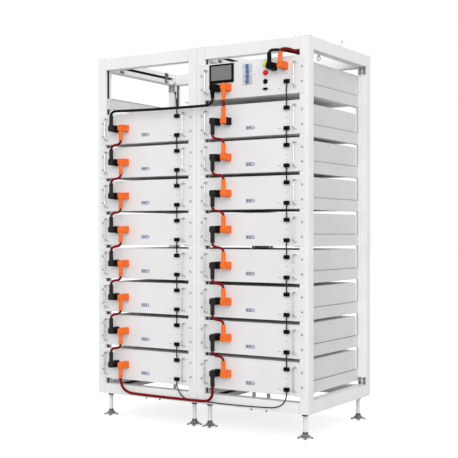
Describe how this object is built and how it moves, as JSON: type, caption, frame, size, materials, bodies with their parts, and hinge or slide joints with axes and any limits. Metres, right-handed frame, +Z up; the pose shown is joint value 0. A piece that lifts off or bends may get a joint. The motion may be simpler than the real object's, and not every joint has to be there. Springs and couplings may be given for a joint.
{
  "type": "server rack battery",
  "caption": "Two joined open steel racks of panel-front battery modules on support runners, with a control box, plugged power and signal cables, lifting eyes and levelling feet.",
  "frame": {"origin": "on the floor, under the centre of the object's box", "axes": "+Z up, +Y from the fronts of the modules to the rear, +X to the right as seen from the front"},
  "size_m": [1.0406, 0.62, 1.593],
  "materials": {
    "white_paint": "white powder coat, satin",
    "panel_white": "pale grey-white powder coat, fine texture",
    "zinc": "zinc plated, bright",
    "dark_iron": "cast, dark grey",
    "black_plastic": "moulded, satin",
    "orange_plastic": "moulded, satin",
    "black_cable": "cable jacket, satin",
    "red_cable": "cable jacket, satin",
    "blue_plastic": "moulded, semi-gloss",
    "grey_plastic": "moulded, matte",
    "lamp_yellow": "clear moulded lens",
    "lamp_red": "clear moulded lens",
    "screen_glass": "display glass",
    "cell_blue": "cell wrap",
    "copper": "copper bar",
    "board_green": "circuit board"
  },
  "bodies": {
    "racks": {"left_front_frame": "white_paint", "left_rear_frame": "white_paint", "left_top_right_beam": "white_paint", "left_top_left_beam": "white_paint", "left_bottom_right_beam": "white_paint", "left_bottom_left_beam": "white_paint", "left_right_runners": "white_paint", "left_left_runners": "white_paint", "left_module_2": "panel_white", "left_module_3": "panel_white", "left_module_4": "panel_white", "left_module_5": "panel_white", "left_module_6": "panel_white", "left_module_7": "panel_white", "left_module_8": "panel_white", "right_front_frame": "white_paint", "right_rear_frame": "white_paint", "right_top_right_beam": "white_paint", "right_top_left_beam": "white_paint", "right_bottom_right_beam": "white_paint", "right_bottom_left_beam": "white_paint", "right_right_runners": "white_paint", "right_left_runners": "white_paint", "right_module_1": "panel_white", "right_module_2": "panel_white", "right_module_3": "panel_white", "right_module_4": "panel_white", "right_module_5": "panel_white", "right_module_6": "panel_white", "right_module_7": "panel_white", "right_module_8": "panel_white", "left_module_1_case": "white_paint", "left_module_1_cover": "white_paint", "left_module_1_front_panel": "panel_white", "left_module_1_cell_block": "cell_blue", "left_module_1_busbars": "copper", "left_module_1_battery_board": "board_green", "control_box_case": "white_paint", "control_box_cover": "white_paint", "control_box_front_panel": "panel_white", "control_box_switchgear": "grey_plastic", "touch_screen": "black_plastic", "main_breaker": "grey_plastic", "top_power_link": "black_cable", "bottom_power_link": "red_cable", "bottom_signal_link": "black_cable", "output_negative_lead": "black_cable", "output_positive_lead": "red_cable", "output_negative_connector": "black_plastic", "output_positive_connector": "black_plastic"},
    "left_front_left_foot": {"left_front_left_foot": "zinc"},
    "left_front_right_foot": {"left_front_right_foot": "zinc"},
    "left_rear_left_foot": {"left_rear_left_foot": "zinc"},
    "left_rear_right_foot": {"left_rear_right_foot": "zinc"},
    "right_front_left_foot": {"right_front_left_foot": "zinc"},
    "right_front_right_foot": {"right_front_right_foot": "zinc"},
    "right_rear_left_foot": {"right_rear_left_foot": "zinc"},
    "right_rear_right_foot": {"right_rear_right_foot": "zinc"},
    "breaker_handle": {"breaker_handle": "blue_plastic"},
    "start_button": {"start_button": "black_plastic"}
  },
  "joints": [
    {"name": "left_front_left_foot_height", "type": "slide", "parent": "racks", "child": "left_front_left_foot", "axis": [0, 0, 1], "range_m": [-0.02, 0.02]},
    {"name": "left_front_right_foot_height", "type": "slide", "parent": "racks", "child": "left_front_right_foot", "axis": [0, 0, 1], "range_m": [-0.02, 0.02]},
    {"name": "left_rear_left_foot_height", "type": "slide", "parent": "racks", "child": "left_rear_left_foot", "axis": [0, 0, 1], "range_m": [-0.02, 0.02]},
    {"name": "left_rear_right_foot_height", "type": "slide", "parent": "racks", "child": "left_rear_right_foot", "axis": [0, 0, 1], "range_m": [-0.02, 0.02]},
    {"name": "right_front_left_foot_height", "type": "slide", "parent": "racks", "child": "right_front_left_foot", "axis": [0, 0, 1], "range_m": [-0.02, 0.02]},
    {"name": "right_front_right_foot_height", "type": "slide", "parent": "racks", "child": "right_front_right_foot", "axis": [0, 0, 1], "range_m": [-0.02, 0.02]},
    {"name": "right_rear_left_foot_height", "type": "slide", "parent": "racks", "child": "right_rear_left_foot", "axis": [0, 0, 1], "range_m": [-0.02, 0.02]},
    {"name": "right_rear_right_foot_height", "type": "slide", "parent": "racks", "child": "right_rear_right_foot", "axis": [0, 0, 1], "range_m": [-0.02, 0.02]},
    {"name": "breaker_handle_swing", "type": "hinge", "parent": "racks", "child": "breaker_handle", "pos_m": [0.24585, -0.257, 1.4295], "axis": [0, 0, 1], "range_deg": [-70, 0]},
    {"name": "start_button_press", "type": "slide", "parent": "racks", "child": "start_button", "axis": [0, 1, 0], "range_m": [0, 0.0025], "stiffness_N_per_m": 800}
  ]
}
